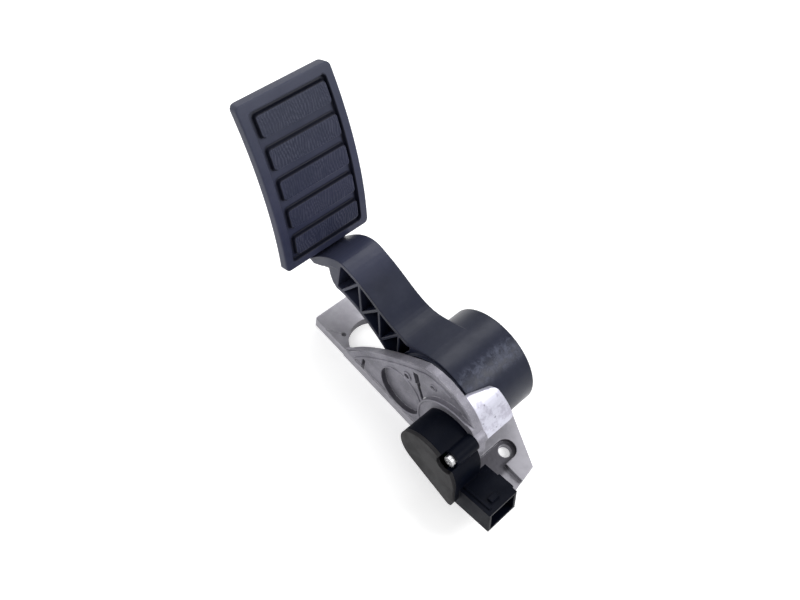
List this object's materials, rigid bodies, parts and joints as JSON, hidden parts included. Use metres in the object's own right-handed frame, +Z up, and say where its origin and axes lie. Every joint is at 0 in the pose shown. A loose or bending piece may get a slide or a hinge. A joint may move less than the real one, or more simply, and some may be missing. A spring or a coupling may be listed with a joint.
{
  "type": "accelerator pedal",
  "caption": "Floor-mounted accelerator pedal with a cast base, a sprung drum, a lattice arm, a bowed ribbed pad and a side position sensor.",
  "frame": {"origin": "on the underside of the base plate, straight below the pivot axis at the drum's middle", "axes": "+X along the pivot away from the sensor, +Y towards the toe, +Z up from the cab floor"},
  "size_m": [0.0945, 0.2676, 0.1728],
  "materials": {
    "cast_alloy": "as-cast grey aluminium, brighter where machined",
    "steel": "ground steel",
    "dark_steel": "black oxide",
    "spring_steel": "oiled spring wire",
    "zinc_steel": "zinc plated",
    "bronze": "sintered bronze",
    "natural_plastic": "natural acetal",
    "friction_lining": "friction lining",
    "bumper_rubber": "moulded rubber",
    "seal_rubber": "silicone seal",
    "arm_plastic": "charcoal glass-filled nylon, soft sheen",
    "pad_plastic": "slate blue-black, satin, lightly dusty",
    "sensor_plastic": "near-black moulding",
    "cover_plastic": "dark grey moulding",
    "board": "green board",
    "lever_alloy": "stamped",
    "terminal_brass": "plated pins"
  },
  "bodies": {
    "base": {"base_casting": "cast_alloy", "pivot_shaft": "steel", "shaft_lock_screw": "dark_steel", "thrust_washer": "natural_plastic", "friction_disc": "friction_lining", "wave_washer": "steel", "idle_bumper": "bumper_rubber", "travel_bumper": "bumper_rubber", "return_spring_outer": "spring_steel", "return_spring_inner": "spring_steel", "sensor_housing": "sensor_plastic", "sensor_cover": "cover_plastic", "sensor_seal": "seal_rubber", "sensor_board": "board", "sensor_screws": "zinc_steel", "connector_terminals": "terminal_brass"},
    "pedal": {"pedal_arm": "arm_plastic", "pedal_pad": "pad_plastic", "pad_screws": "zinc_steel", "bush_near": "bronze", "bush_far": "bronze", "drive_pin": "steel", "spring_guide": "natural_plastic"},
    "rotor": {"sensor_rotor": "natural_plastic", "rotor_lever": "lever_alloy", "sensor_magnet": "dark_steel"}
  },
  "joints": [
    {"name": "pedal_pivot", "type": "hinge", "parent": "base", "child": "pedal", "pos_m": [0, 0, 0.046], "axis": [-1, 0, 0], "range_deg": [0, 18], "stiffness_Nm_per_rad": 10.8, "springref_deg": -22.35, "deforming": ["return_spring_outer", "return_spring_inner"]},
    {"name": "sensor_turn", "type": "hinge", "parent": "base", "child": "rotor", "pos_m": [0, -0.0255, 0.04], "axis": [-1, 0, 0], "range_deg": [-20.3, 0]}
  ],
  "couplings": [
    {"joint": "sensor_turn", "follows": "pedal_pivot", "ratio": -1.1156}
  ]
}
